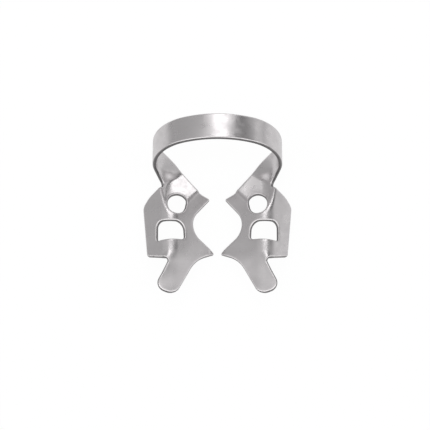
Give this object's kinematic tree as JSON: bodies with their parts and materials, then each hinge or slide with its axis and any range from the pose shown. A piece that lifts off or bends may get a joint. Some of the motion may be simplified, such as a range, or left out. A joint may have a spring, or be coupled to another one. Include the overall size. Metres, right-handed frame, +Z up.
{
  "type": "dental rubber dam clamp",
  "caption": "Winged rubber dam clamp: one piece of bent spring steel with an arched bow, two jaws with pointed prongs, forceps holes and wings.",
  "frame": {"origin": "middle of the bounding box at the level of the table that the prong tips stand on", "axes": "+X across the clamp, from one jaw to the other; +Y from the finger wings towards the bow; +Z up"},
  "size_m": [0.0234, 0.0262, 0.0132],
  "materials": {
    "spring_steel": "satin, tumbled"
  },
  "bodies": {
    "root": {"clamp": "spring_steel"}
  },
  "joints": []
}
